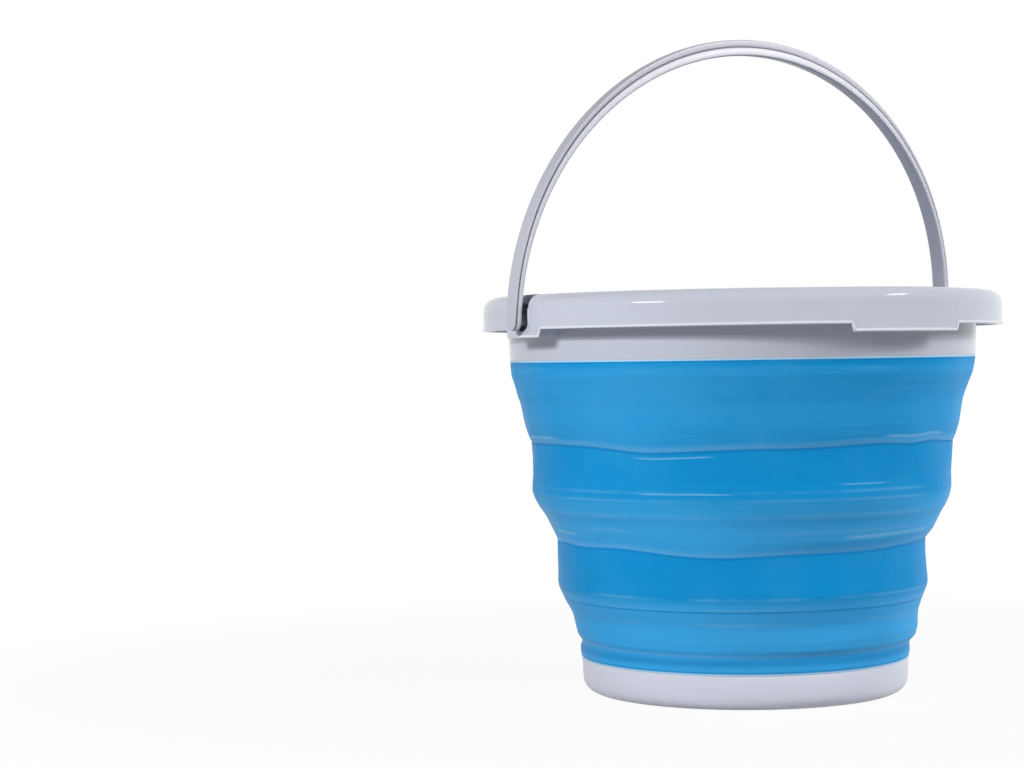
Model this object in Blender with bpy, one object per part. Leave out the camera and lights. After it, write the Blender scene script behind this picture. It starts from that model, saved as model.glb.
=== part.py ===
"""Collapsible camp bucket: a stiff rim and base joined by a soft wall that folds into itself.

Metres, +Z up. The origin is the centre of the base's flat underside. The handle swings
about a line along X, the pouring spout faces -Y and the hanging lug faces +Y.
The bucket stands open, with its handle up.
"""

import math

import bmesh
import bpy

# Fits, steps round a full turn, and shares of a turn
JOINT_GAP = 0.0003
CUT_OVERRUN = 0.002
WALL_STEPS = 64
RIM_STEPS = 96
QUARTER_SHARE = 0.25
HALF_SHARE = 0.5

# Heights of the wall's rings, in order from the underside up
BASE_SHELL_HEIGHT = 0.0204
BOTTOM_CUFF_HEIGHT = 0.0074
NECK_STEP_HEIGHT = 0.0050
NECK_HEIGHT = 0.0145
LOWER_WEB_HEIGHT = 0.0175
LOWER_BAND_HEIGHT = 0.0260
MIDDLE_WEB_HEIGHT = 0.0310
UPPER_BAND_HEIGHT = 0.0280
UPPER_WEB_HEIGHT = 0.0440
TOP_CUFF_HEIGHT = 0.0076
RIM_HEIGHT = 0.0383

# Outer radius of the rim, and how far each ring below lies inside the one above it
RIM_RADIUS = 0.1568
RIM_OVERHANG = 0.0150
COLLAR_FLARE = 0.0012
UPPER_BAND_STEP = 0.0134
LOWER_BAND_STEP = 0.0152
NECK_STEP_IN = 0.0075
BOTTOM_CUFF_STEP = 0.0050
BASE_STEP = 0.0005

# How much each ring narrows downward
CUFF_DRAFT = 0.0003
NECK_DRAFT = 0.0018
BAND_DRAFT = 0.0006
TOP_CUFF_DRAFT = 0.0006

# Thickness of the soft wall
CUFF_WALL = 0.0016
WEB_WALL = 0.0015
BAND_WALL = 0.0022
BAND_STANDOUT = 0.0005
BAND_EDGE = 0.0008
UPPER_WEB_BEND_SHARES = ((0.20, 0.25), (0.54, 0.48), (0.83, 0.74))
TONGUE_WALL = 0.0011
TONGUE_SHY = 0.0010

# Base
BASE_DRAFT = 0.0007
BASE_CORNER = 0.0080
FLOOR_THICKNESS = 0.0030
FLOOR_FILLET = 0.0110

# Finger grip under the base, a pocket that stands up inside the bucket
GRIP_INSET = 0.0042
GRIP_REACH = 0.0250
GRIP_HALF_ANGLE = math.radians(33)
GRIP_DEPTH = 0.0110
GRIP_WALL = 0.0025
GRIP_EDGE = 0.0030

# Rim
SKIRT_DEPTH = 0.0205
SKIRT_WALL = 0.0022
SHOULDER_WIDTH = 0.0086
SHOULDER_HEIGHT = 0.0080
BEAD_HEIGHT = 0.0016
BEAD_STANDOUT = 0.0004
FLANGE_WALL = 0.0028
MOUTH_EDGE = 0.0030

# Tabs below the skirt, under the spout and at the handle's pivots
SPOUT_TAB_HALF_WIDTH = 0.0373
SPOUT_TAB_DROP = 0.0043
PIVOT_TAB_HALF_WIDTH = 0.0166
PIVOT_TAB_DROP = 0.0047
TAB_EDGE_RUN = 0.0012
POCKET_RECESS = 0.0008

# Pouring spout, a scoop in the rim's inner edge
SPOUT_HALF_CHORD = 0.0415
SPOUT_REACH = 0.0100
SPOUT_DROP = 0.0085
SPOUT_SHOULDER = 0.0045
EDGE_BULGE_SHARE = 0.8
SPOUT_BULGE_SHARE = 0.3

# Handle and its pivots
PIVOT_DROP = 0.0148
LEG_RISE = 0.0037
HANDLE_CLEARANCE = 0.0029
ARCH_CLEARANCE = 0.0038
HANDLE_WIDTH = 0.0108
LEG_THICKNESS = 0.0042
APEX_THICKNESS = 0.0078
HANDLE_GROOVE = 0.0012
HANDLE_LEAN = math.radians(5.4)
HUB_RADIUS = 0.0062
HUB_CLEARANCE = 0.0006
HUB_END_GAP = 0.0010
SLOT_DEPTH = 0.0080
SLOT_FLARE = 0.0019
PIN_RADIUS = 0.0035
PIN_CLEARANCE = 0.0004
SOCKET_WALL = 0.0011

# Hanging lug
LUG_REACH = 0.0260
LUG_HALF_WIDTH = 0.0330
LUG_TIP_RADIUS = 0.0100
LUG_THICKNESS = 0.0040
LUG_HOLE_RADIUS = 0.0060
LUG_HOLE_FROM_TIP = 0.0115
LUG_EDGE = 0.0010

# Levels that follow from the heights above
BASE_TOP = BASE_SHELL_HEIGHT
BOTTOM_CUFF_TOP = BASE_TOP + BOTTOM_CUFF_HEIGHT
NECK_BOTTOM = BOTTOM_CUFF_TOP + NECK_STEP_HEIGHT
NECK_TOP = NECK_BOTTOM + NECK_HEIGHT
LOWER_BAND_BOTTOM = NECK_TOP + LOWER_WEB_HEIGHT
LOWER_BAND_TOP = LOWER_BAND_BOTTOM + LOWER_BAND_HEIGHT
UPPER_BAND_BOTTOM = LOWER_BAND_TOP + MIDDLE_WEB_HEIGHT
UPPER_BAND_TOP = UPPER_BAND_BOTTOM + UPPER_BAND_HEIGHT
TOP_CUFF_BOTTOM = UPPER_BAND_TOP + UPPER_WEB_HEIGHT
COLLAR_BOTTOM = TOP_CUFF_BOTTOM + TOP_CUFF_HEIGHT
RIM_TOP = COLLAR_BOTTOM + RIM_HEIGHT
SKIRT_BOTTOM = RIM_TOP - SKIRT_DEPTH
PIVOT_HEIGHT = RIM_TOP - PIVOT_DROP

# Outer radii of the rings, from the rim down
COLLAR_TOP_RADIUS = RIM_RADIUS - RIM_OVERHANG
TOP_CUFF_RADIUS = COLLAR_TOP_RADIUS - COLLAR_FLARE
UPPER_BAND_RADIUS = TOP_CUFF_RADIUS - UPPER_BAND_STEP
LOWER_BAND_RADIUS = UPPER_BAND_RADIUS - LOWER_BAND_STEP
NECK_RADIUS = LOWER_BAND_RADIUS - NECK_STEP_IN
BOTTOM_CUFF_RADIUS = NECK_RADIUS - BOTTOM_CUFF_STEP
BASE_RADIUS = BOTTOM_CUFF_RADIUS - BASE_STEP

# Radii and lengths that follow from what they fit
LAP_WALL = CUFF_WALL + JOINT_GAP + TONGUE_WALL
MOUTH_RADIUS = TOP_CUFF_RADIUS - TOP_CUFF_DRAFT - LAP_WALL
BASE_INNER_RADIUS = BOTTOM_CUFF_RADIUS - CUFF_DRAFT - LAP_WALL
GRIP_OUTER_RADIUS = BASE_INNER_RADIUS - FLOOR_FILLET - GRIP_INSET
GRIP_INNER_RADIUS = GRIP_OUTER_RADIUS - GRIP_REACH
SLOT_RADIUS = HUB_RADIUS + HUB_CLEARANCE
SLOT_BACK = RIM_RADIUS - SLOT_DEPTH
SOCKET_DEPTH = RIM_OVERHANG - SLOT_DEPTH - SOCKET_WALL
PIN_LENGTH = SOCKET_DEPTH - JOINT_GAP - PIN_CLEARANCE
LEG_INNER_X = RIM_RADIUS + HANDLE_CLEARANCE

# Colours, as linear red, green and blue
GREY_PLASTIC = (0.58, 0.60, 0.68)
HANDLE_GREY = (0.53, 0.54, 0.60)
BLUE_RUBBER = (0.012, 0.270, 0.620)


def clear_scene():
    for item in list(bpy.data.objects):
        bpy.data.objects.remove(item, do_unlink=True)


def make_material(name, colour, roughness):
    material = bpy.data.materials.new(name)
    material.use_nodes = True
    shader = material.node_tree.nodes["Principled BSDF"]
    shader.inputs["Base Color"].default_value = (*colour, 1)
    shader.inputs["Roughness"].default_value = roughness
    shader.inputs["Metallic"].default_value = 0
    material.diffuse_color = (*colour, 1)
    return material


def finish_mesh(bm, name):
    """Turn the bmesh into a mesh whose faces point out and whose round sides shade smooth."""
    bmesh.ops.recalc_face_normals(bm, faces=bm.faces)
    mesh = bpy.data.meshes.new(name)
    bm.to_mesh(mesh)
    bm.free()
    mesh.shade_smooth()
    mesh.set_sharp_from_angle(angle=math.radians(35))
    return mesh


def add_object(name, mesh, material=None):
    piece = bpy.data.objects.new(name, mesh)
    bpy.context.scene.collection.objects.link(piece)
    if material:
        mesh.materials.append(material)
    return piece


def add_tool(name, mesh, target, operation):
    """Add a hidden solid that cuts the target, or joins it."""
    tool = add_object(name, mesh)
    tool.hide_render = True
    tool.display_type = "WIRE"
    boolean = target.modifiers.new(name, "BOOLEAN")
    boolean.operation = operation
    boolean.solver = "EXACT"
    boolean.object = tool
    return tool


def even_angles(steps):
    return [math.tau * step / steps for step in range(steps)]


def ring_mesh(name, angles, outline_at, capped=False):
    """Carry a (radius, height) outline all the way round; it may change with the angle.

    The outline is closed, or else capped: then flat discs close its first and last points.
    """
    bm = bmesh.new()
    loops = []
    for angle in angles:
        along, across = math.cos(angle), math.sin(angle)
        loops.append([bm.verts.new((r * along, r * across, z)) for r, z in outline_at(angle)])
    first = 1 if capped else 0
    for loop, following in zip(loops, loops[1:] + loops[:1]):
        for index in range(first, len(loop)):
            last = index - 1
            bm.faces.new((loop[last], loop[index], following[index], following[last]))
    if capped:
        bm.faces.new([loop[0] for loop in loops])
        bm.faces.new([loop[-1] for loop in loops])
    return finish_mesh(bm, name)


def mix(low, high, share):
    return low + (high - low) * share


def turned_shell(outer, wall):
    """Outline of a thin ring: the outer side given from the bottom up, and back down the inside."""
    return outer + [(radius - wall, height) for radius, height in reversed(outer)]


def arc_points(centre, radii, start_share, end_share, count):
    """Points on an ellipse about a centre, between two shares of a turn."""
    points = []
    for step in range(count + 1):
        turn = math.tau * (start_share + (end_share - start_share) * step / count)
        points.append((centre[0] + radii[0] * math.cos(turn), centre[1] + radii[1] * math.sin(turn)))
    return points


def prism_mesh(name, outline, start, end, axis="Z"):
    """Extrude a closed flat outline from start to end along X or Z."""
    bm = bmesh.new()
    if axis == "Z":
        corners = [bm.verts.new((u, v, start)) for u, v in outline]
        shift = (0, 0, end - start)
    else:
        corners = [bm.verts.new((start, u, v)) for u, v in outline]
        shift = (end - start, 0, 0)
    bottom = bm.faces.new(corners)
    grown = bmesh.ops.extrude_face_region(bm, geom=[bottom])
    moved = [item for item in grown["geom"] if isinstance(item, bmesh.types.BMVert)]
    bmesh.ops.translate(bm, verts=moved, vec=shift)
    return finish_mesh(bm, name)


def bevel_level_edges(mesh, height, width):
    """Round the edges of a prism that lie at one height."""
    bm = bmesh.new()
    bm.from_mesh(mesh)
    level = [edge for edge in bm.edges if all(abs(v.co.z - height) < JOINT_GAP for v in edge.verts)]
    bmesh.ops.bevel(bm, geom=level, offset=width, segments=2, profile=0.5, affect="EDGES")
    bm.to_mesh(mesh)
    bm.free()


def cuff(name, bottom, top, radius, draft, material):
    """A short sleeve of the soft wall, moulded over the tongue of the rim or the base."""
    outer = [(radius - draft, bottom), (radius, top)]
    outline = turned_shell(outer, CUFF_WALL)
    return add_object(name, ring_mesh(name, even_angles(WALL_STEPS), lambda angle: outline), material)


def band(name, bottom, top, radius, material):
    """A stiffer upright ring of the wall, with eased outer corners."""
    foot = radius - BAND_DRAFT
    outer = [
        (foot - BAND_EDGE, bottom),
        (foot, bottom + BAND_EDGE),
        (radius, top - BAND_EDGE),
        (radius - BAND_EDGE, top),
    ]
    inner = [(radius - BAND_WALL, top), (foot - BAND_WALL, bottom)]
    outline = outer + inner
    return add_object(name, ring_mesh(name, even_angles(WALL_STEPS), lambda angle: outline), material)


def web(name, outer, material):
    """A thin sloping ring of the wall, which flips over when the bucket folds."""
    low_radius, low_height = outer[0]
    high_radius, high_height = outer[-1]
    ends = [(low_radius, low_height + JOINT_GAP), (high_radius, high_height - JOINT_GAP)]
    outline = turned_shell([ends[0]] + outer[1:-1] + [ends[1]], WEB_WALL)
    return add_object(name, ring_mesh(name, even_angles(WALL_STEPS), lambda angle: outline), material)


def make_wall(material):
    """The folding wall: a cuff at each end, two upright bands and three webs between them."""
    cuff("wall_bottom_cuff", BASE_TOP + JOINT_GAP, BOTTOM_CUFF_TOP,
         BOTTOM_CUFF_RADIUS, CUFF_DRAFT, material)
    cuff("wall_top_cuff", TOP_CUFF_BOTTOM, COLLAR_BOTTOM - JOINT_GAP,
         TOP_CUFF_RADIUS, TOP_CUFF_DRAFT, material)
    band("wall_lower_band", LOWER_BAND_BOTTOM, LOWER_BAND_TOP, LOWER_BAND_RADIUS, material)
    band("wall_upper_band", UPPER_BAND_BOTTOM, UPPER_BAND_TOP, UPPER_BAND_RADIUS, material)
    lower_foot = LOWER_BAND_RADIUS - BAND_DRAFT - BAND_STANDOUT
    upper_foot = UPPER_BAND_RADIUS - BAND_DRAFT - BAND_STANDOUT
    web("wall_lower_web", [
        (BOTTOM_CUFF_RADIUS, BOTTOM_CUFF_TOP),
        (NECK_RADIUS - NECK_DRAFT, NECK_BOTTOM),
        (NECK_RADIUS, NECK_TOP),
        (lower_foot, LOWER_BAND_BOTTOM),
    ], material)
    web("wall_middle_web", [
        (LOWER_BAND_RADIUS - BAND_STANDOUT, LOWER_BAND_TOP),
        (upper_foot, UPPER_BAND_BOTTOM),
    ], material)
    foot = (UPPER_BAND_RADIUS - BAND_STANDOUT, UPPER_BAND_TOP)
    head = (TOP_CUFF_RADIUS - TOP_CUFF_DRAFT, TOP_CUFF_BOTTOM)
    bends = [(mix(foot[0], head[0], outward), mix(foot[1], head[1], upward))
             for upward, outward in UPPER_WEB_BEND_SHARES]
    web("wall_upper_web", [foot] + bends + [head], material)


def base_outline():
    """The base in section, from the middle of its underside, up the outside and down to the floor."""
    tongue_radius = BASE_INNER_RADIUS + TONGUE_WALL
    tongue_top = BOTTOM_CUFF_TOP - TONGUE_SHY
    corner = arc_points(
        (BASE_RADIUS - BASE_DRAFT - BASE_CORNER, BASE_CORNER), (BASE_CORNER, BASE_CORNER),
        -QUARTER_SHARE, 0, 5)
    floor_edge = arc_points(
        (BASE_INNER_RADIUS - FLOOR_FILLET, FLOOR_THICKNESS + FLOOR_FILLET),
        (FLOOR_FILLET, FLOOR_FILLET), 0, -QUARTER_SHARE, 4)
    return corner + [
        (BASE_RADIUS, BASE_TOP),
        (tongue_radius, BASE_TOP),
        (tongue_radius, tongue_top),
        (BASE_INNER_RADIUS, tongue_top),
    ] + floor_edge


def grip_outline(inner_radius, outer_radius, half_angle):
    """A ring sector about +Y, as a flat outline."""
    half_share = half_angle / math.tau
    outer = arc_points((0, 0), (outer_radius, outer_radius),
                       QUARTER_SHARE - half_share, QUARTER_SHARE + half_share, 8)
    inner = arc_points((0, 0), (inner_radius, inner_radius),
                       QUARTER_SHARE + half_share, QUARTER_SHARE - half_share, 8)
    return outer + inner


def make_base(material):
    """The stiff base, with a finger pocket pressed up from below."""
    outline = base_outline()
    turned = ring_mesh("base", even_angles(WALL_STEPS), lambda angle: outline, capped=True)
    base = add_object("base", turned, material)
    hood_top = GRIP_DEPTH + FLOOR_THICKNESS
    hood = prism_mesh(
        "grip_hood", grip_outline(GRIP_INNER_RADIUS, GRIP_OUTER_RADIUS, GRIP_HALF_ANGLE),
        FLOOR_THICKNESS / 2, hood_top)
    bevel_level_edges(hood, hood_top, GRIP_EDGE)
    add_tool("grip_hood", hood, base, "UNION")
    narrowing = GRIP_WALL / GRIP_INNER_RADIUS
    pocket = prism_mesh(
        "grip_pocket",
        grip_outline(GRIP_INNER_RADIUS + GRIP_WALL, GRIP_OUTER_RADIUS - GRIP_WALL,
                     GRIP_HALF_ANGLE - narrowing),
        -CUT_OVERRUN, GRIP_DEPTH)
    bevel_level_edges(pocket, GRIP_DEPTH, GRIP_EDGE - GRIP_WALL / 2)
    add_tool("grip_pocket", pocket, base, "DIFFERENCE")
    return base


def spout_share(angle):
    """How much of the spout's scoop is present here: 1 in its middle and 0 past its ends."""
    half_angle = math.asin(SPOUT_HALF_CHORD / MOUTH_RADIUS)
    offset = abs(math.remainder(angle + math.pi / 2, math.tau)) / half_angle
    return max(0, 1 - offset * offset)


def tab_share(angle, middle, half_width):
    """1 within a tab's width and 0 outside its slanted ends."""
    offset = abs(math.remainder(angle - middle, math.tau)) * RIM_RADIUS
    return min(1, max(0, (half_width + TAB_EDGE_RUN - offset) / TAB_EDGE_RUN))


def pivot_share(angle):
    return max(tab_share(angle, middle, PIVOT_TAB_HALF_WIDTH) for middle in (0, math.pi))


def skirt_bottom(angle):
    spout_drop = SPOUT_TAB_DROP * tab_share(angle, -math.pi / 2, SPOUT_TAB_HALF_WIDTH)
    return SKIRT_BOTTOM - max(spout_drop, PIVOT_TAB_DROP * pivot_share(angle))


def rim_angles():
    """Even steps round the rim, and a step at each end of each tab's slanted edges."""
    tabs = (
        (-math.pi / 2, SPOUT_TAB_HALF_WIDTH),
        (0, PIVOT_TAB_HALF_WIDTH),
        (math.pi, PIVOT_TAB_HALF_WIDTH),
    )
    edges = []
    for middle, half_width in tabs:
        for side in (-1, 1):
            for reach in (half_width, half_width + TAB_EDGE_RUN):
                edges.append((middle + side * reach / RIM_RADIUS) % math.tau)
    clear = TAB_EDGE_RUN / RIM_RADIUS
    even = [angle for angle in even_angles(RIM_STEPS)
            if all(abs(math.remainder(angle - edge, math.tau)) > clear for edge in edges)]
    return sorted(even + edges)


def mouth_edge(scoop):
    """The rim's inner top edge: a small round, or the spout's long slope, from the top inward."""
    run = MOUTH_EDGE + SPOUT_REACH * scoop
    fall = MOUTH_EDGE + SPOUT_DROP * scoop
    bulge_share = mix(EDGE_BULGE_SHARE, SPOUT_BULGE_SHARE, scoop)
    start = (MOUTH_RADIUS + run, RIM_TOP)
    end = (MOUTH_RADIUS, RIM_TOP - fall)
    guide = (MOUTH_RADIUS + run * (1 - bulge_share) / 2, RIM_TOP - fall * (1 - bulge_share) / 2)
    points = []
    count = 3
    for step in range(count + 1):
        share = step / count
        points.append(tuple(mix(mix(a, g, share), mix(g, b, share), share)
                            for a, g, b in zip(start, guide, end)))
    return points


def rim_outline(angle):
    """The rim in section, from the foot of its skirt, over the top and down to the collar's tongue."""
    scoop = spout_share(angle)
    filled = pivot_share(angle)
    foot = skirt_bottom(angle)
    shoulder = mix(SHOULDER_WIDTH, SPOUT_SHOULDER, scoop)
    face = RIM_RADIUS - BEAD_STANDOUT
    skirt_inner = RIM_RADIUS - SKIRT_WALL - BEAD_STANDOUT
    outside = [
        (face, foot),
        (RIM_RADIUS, foot + BEAD_STANDOUT),
        (RIM_RADIUS, foot + BEAD_HEIGHT),
        (face, foot + BEAD_HEIGHT + BEAD_STANDOUT),
    ] + arc_points((face - shoulder, RIM_TOP - SHOULDER_HEIGHT), (shoulder, SHOULDER_HEIGHT),
                   0, QUARTER_SHARE, 5)
    roof = RIM_TOP - FLANGE_WALL
    channel_floor = foot + POCKET_RECESS
    corner = face - shoulder
    tongue_bottom = TOP_CUFF_BOTTOM + TONGUE_SHY
    tongue_radius = MOUTH_RADIUS + TONGUE_WALL
    inside = [
        (MOUTH_RADIUS, tongue_bottom),
        (tongue_radius, tongue_bottom),
        (tongue_radius, COLLAR_BOTTOM),
        (TOP_CUFF_RADIUS, COLLAR_BOTTOM),
    ]
    channel = [
        (COLLAR_TOP_RADIUS, mix(roof - SPOUT_DROP * scoop, channel_floor, filled)),
        (corner, mix(roof - FLANGE_WALL * scoop, channel_floor, filled)),
        (skirt_inner, mix(RIM_TOP - SHOULDER_HEIGHT, channel_floor, filled)),
        (skirt_inner, foot),
    ]
    return outside + mouth_edge(scoop) + inside + channel


def slot_outline():
    """The upright slot for a leg of the handle, seen along X: round below and flared at the top."""
    flare = (SLOT_FLARE, SLOT_FLARE)
    flare_height = RIM_TOP - SLOT_FLARE
    round_end = arc_points((0, PIVOT_HEIGHT), (SLOT_RADIUS, SLOT_RADIUS), HALF_SHARE, 1, 12)
    right = arc_points((SLOT_RADIUS + SLOT_FLARE, flare_height), flare, HALF_SHARE, QUARTER_SHARE, 3)
    left = arc_points((-SLOT_RADIUS - SLOT_FLARE, flare_height), flare, QUARTER_SHARE, 0, 3)
    lid = RIM_TOP + CUT_OVERRUN
    return round_end + right + [(right[-1][0], lid), (left[0][0], lid)] + left


def round_bar(name, radius, start, end, steps, centre_height):
    """A round bar along X."""
    outline = arc_points((0, centre_height), (radius, radius), 0, 1, steps)[:-1]
    return prism_mesh(name, outline, start, end, axis="X")


def make_rim(material):
    """The stiff rim: a channel section with a pouring spout, and a slot and a socket at each pivot."""
    rim = add_object("rim", ring_mesh("rim", rim_angles(), rim_outline), material)
    hole_end = SLOT_BACK - SOCKET_DEPTH
    for side, label in ((-1, "left"), (1, "right")):
        slot = prism_mesh("slot_" + label, slot_outline(), side * SLOT_BACK,
                          side * (RIM_RADIUS + CUT_OVERRUN), axis="X")
        add_tool("slot_" + label, slot, rim, "DIFFERENCE")
        hole = round_bar("socket_" + label, PIN_RADIUS + PIN_CLEARANCE, side * hole_end,
                         side * (SLOT_BACK + CUT_OVERRUN), 20, PIVOT_HEIGHT)
        add_tool("socket_" + label, hole, rim, "DIFFERENCE")
    return rim


def handle_section(thickness):
    """Half-open section of the strap: a flat outer band, a groove down each side and a full inner grip.

    Points are (across, out), where out runs from the strap's inner face to its outer face.
    """
    half = HANDLE_WIDTH / 2
    edge_share = 0.12
    groove_share = 0.52
    lip_share = 0.16
    edge = thickness * edge_share
    waist = thickness * groove_share
    lip = thickness * lip_share
    side = [
        (half - 2 * edge, 0),
        (half - edge / 2, edge),
        (half - edge / 2, waist - lip),
        (half - HANDLE_GROOVE, waist),
        (half, waist + lip / 2),
        (half, thickness - edge),
        (half - edge, thickness),
    ]
    return side + [(-across, out) for across, out in reversed(side)]


def arch_stations(steps):
    """Places along the handle's middle plane: inner point, outward direction and thickness.

    The list runs from one pivot up its leg, over the arch and down the other leg. Heights
    are counted from the pivots.
    """
    inner_span = LEG_INNER_X
    inner_rise = RIM_RADIUS + ARCH_CLEARANCE - LEG_RISE
    outer_span = inner_span + LEG_THICKNESS
    outer_rise = inner_rise + APEX_THICKNESS
    stations = [((inner_span, 0), (outer_span, 0))]
    for step in range(steps + 1):
        turn = math.pi * step / steps
        inner = (inner_span * math.cos(turn), LEG_RISE + inner_rise * math.sin(turn))
        outer = (outer_span * math.cos(turn), LEG_RISE + outer_rise * math.sin(turn))
        stations.append((inner, outer))
    stations.append(((-inner_span, 0), (-outer_span, 0)))
    return stations


def strap_mesh():
    """Sweep the strap's section along the arch and close both ends."""
    bm = bmesh.new()
    loops = []
    for inner, outer in arch_stations(44):
        thickness = math.dist(inner, outer)
        along = ((outer[0] - inner[0]) / thickness, (outer[1] - inner[1]) / thickness)
        loops.append([bm.verts.new((inner[0] + out * along[0], across, inner[1] + out * along[1]))
                      for across, out in handle_section(thickness)])
    for loop, following in zip(loops, loops[1:]):
        for index in range(len(loop)):
            last = index - 1
            bm.faces.new((loop[last], loop[index], following[index], following[last]))
    bm.faces.new(loops[0])
    bm.faces.new(loops[-1])
    return finish_mesh(bm, "handle")


def make_handle(material):
    """The swing handle: a grooved strap with a round hub and an inward pin at each end."""
    handle = add_object("handle", strap_mesh(), material)
    handle.location = (0, 0, PIVOT_HEIGHT)
    handle.rotation_euler = (HANDLE_LEAN, 0, 0)
    hub_inner = SLOT_BACK + HUB_END_GAP
    hub_outer = LEG_INNER_X + LEG_THICKNESS
    pin_end = SLOT_BACK - PIN_LENGTH
    for side, label in ((-1, "left"), (1, "right")):
        hub = round_bar("hub_" + label, HUB_RADIUS, side * hub_inner, side * hub_outer, 32, 0)
        pin = round_bar("pin_" + label, PIN_RADIUS, side * pin_end, side * LEG_INNER_X, 20, 0)
        for name, mesh in (("hub_" + label, hub), ("pin_" + label, pin)):
            tool = add_tool(name, mesh, handle, "UNION")
            tool.parent = handle
    return handle


def lug_outline():
    """The hanging lug seen from above: a curved root under the rim and a round tip."""
    root_radius = COLLAR_TOP_RADIUS + JOINT_GAP
    tip_centre = RIM_RADIUS + LUG_REACH - LUG_TIP_RADIUS
    half_angle = math.asin(LUG_HALF_WIDTH / RIM_RADIUS)
    root_share = half_angle / math.tau
    root = arc_points((0, 0), (root_radius, root_radius),
                      QUARTER_SHARE + root_share, QUARTER_SHARE - root_share, 10)
    corner_height = RIM_RADIUS * math.cos(half_angle)
    tip_share = 0.05
    tip = arc_points((0, tip_centre), (LUG_TIP_RADIUS, LUG_TIP_RADIUS),
                     tip_share, HALF_SHARE - tip_share, 12)
    return root + [(LUG_HALF_WIDTH, corner_height)] + tip + [(-LUG_HALF_WIDTH, corner_height)]


def make_lug(material):
    """The flat hanging lug, which lies against the foot of the rim's skirt."""
    top = SKIRT_BOTTOM - JOINT_GAP
    lug_mesh = prism_mesh("hang_lug", lug_outline(), top - LUG_THICKNESS, top)
    bevel_level_edges(lug_mesh, top - LUG_THICKNESS, LUG_EDGE)
    lug = add_object("hang_lug", lug_mesh, material)
    hole_y = RIM_RADIUS + LUG_REACH - LUG_HOLE_FROM_TIP
    outline = arc_points((0, hole_y), (LUG_HOLE_RADIUS, LUG_HOLE_RADIUS), 0, 1, 24)[:-1]
    hole = prism_mesh("lug_hole", outline, top - LUG_THICKNESS - CUT_OVERRUN, top + CUT_OVERRUN)
    add_tool("lug_hole", hole, lug, "DIFFERENCE")
    return lug


def main():
    clear_scene()
    grey_roughness = 0.35
    rubber_roughness = 0.45
    make_rim(make_material("rim_plastic", GREY_PLASTIC, grey_roughness))
    make_lug(make_material("lug_plastic", GREY_PLASTIC, grey_roughness))
    make_handle(make_material("handle_plastic", HANDLE_GREY, grey_roughness))
    make_base(make_material("base_plastic", GREY_PLASTIC, grey_roughness))
    make_wall(make_material("wall_rubber", BLUE_RUBBER, rubber_roughness))


main()
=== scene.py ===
import math

import bmesh
import bpy
import numpy as np
from mathutils import Matrix, Vector


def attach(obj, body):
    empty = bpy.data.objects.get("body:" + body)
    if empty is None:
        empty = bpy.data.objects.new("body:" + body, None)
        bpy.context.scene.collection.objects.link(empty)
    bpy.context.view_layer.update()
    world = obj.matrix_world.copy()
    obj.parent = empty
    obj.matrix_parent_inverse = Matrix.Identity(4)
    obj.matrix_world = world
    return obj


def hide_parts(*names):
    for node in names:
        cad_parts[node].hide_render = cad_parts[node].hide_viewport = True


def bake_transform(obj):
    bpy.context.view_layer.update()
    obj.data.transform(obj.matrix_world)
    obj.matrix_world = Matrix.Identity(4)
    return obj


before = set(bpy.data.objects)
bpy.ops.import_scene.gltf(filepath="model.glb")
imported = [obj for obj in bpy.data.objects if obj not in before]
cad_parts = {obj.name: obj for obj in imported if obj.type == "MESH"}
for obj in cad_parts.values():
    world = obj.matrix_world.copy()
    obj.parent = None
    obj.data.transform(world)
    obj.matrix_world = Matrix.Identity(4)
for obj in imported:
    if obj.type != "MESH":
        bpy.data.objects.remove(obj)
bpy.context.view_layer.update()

# Camera and lamps: the camera stands at the height of the rim, as in the photograph, with the
# spout turned 37 degrees to its right. A wide softbox lights the bucket from each side, and a
# narrow strip near each of them draws a short gleam along the rim's shoulder.
camera_turn = math.radians(37.10)
camera_distance = 1.3988
camera_height = 0.2038
camera_lens = 80.21
look_left = math.radians(5.726)
look_down = math.radians(0.680)
camera_roll = math.radians(-0.815)

camera = bpy.data.objects.new("camera", bpy.data.cameras.new("camera"))
bpy.context.scene.collection.objects.link(camera)
camera.data.lens = camera_lens
camera.data.sensor_width = 36
camera.data.clip_start = 0.05
camera.matrix_world = (
    Matrix.Translation((-math.sin(camera_turn) * camera_distance,
                        -math.cos(camera_turn) * camera_distance, camera_height))
    @ Matrix.Rotation(look_left - camera_turn, 4, "Z")
    @ Matrix.Rotation(math.pi / 2 - look_down, 4, "X")
    @ Matrix.Rotation(camera_roll, 4, "Z"))
bpy.context.scene.camera = camera
bpy.context.scene.view_settings.view_transform = "Standard"

lamp_distance = 1.5
bucket_middle = Vector((0, 0, 0.16))


def softbox(name, turn_from_camera, elevation, watts, width, height):
    """A rectangular lamp that faces the bucket's middle; its turn and elevation are in degrees."""
    turn = math.radians(turn_from_camera) - camera_turn
    rise = math.radians(elevation)
    away = Vector((math.sin(turn) * math.cos(rise), -math.cos(turn) * math.cos(rise), math.sin(rise)))
    lamp = bpy.data.objects.new(name, bpy.data.lights.new(name, "AREA"))
    bpy.context.scene.collection.objects.link(lamp)
    lamp.data.shape = "RECTANGLE"
    lamp.data.size = width
    lamp.data.size_y = height
    lamp.data.energy = watts
    lamp.location = bucket_middle + away * lamp_distance
    lamp.rotation_euler = (-away).to_track_quat("-Z", "Y").to_euler()
    return lamp


for wide_softbox in (softbox("left_softbox", -35, 20, 10.2, 0.66, 0.24),
                     softbox("right_softbox", 83, 26, 14.0, 0.90, 0.45)):
    wide_softbox.visible_glossy = False
softbox("left_strip", -39.2, 22.5, 5.4, 0.30, 0.05)
softbox("right_strip", 72, 28.5, 3.0, 0.26, 0.07)

# Room: pale walls that give a faint even light from all round. They are white where they are
# seen directly, in a shiny surface or through a clear one.
room_brightness = 0.074


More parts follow.
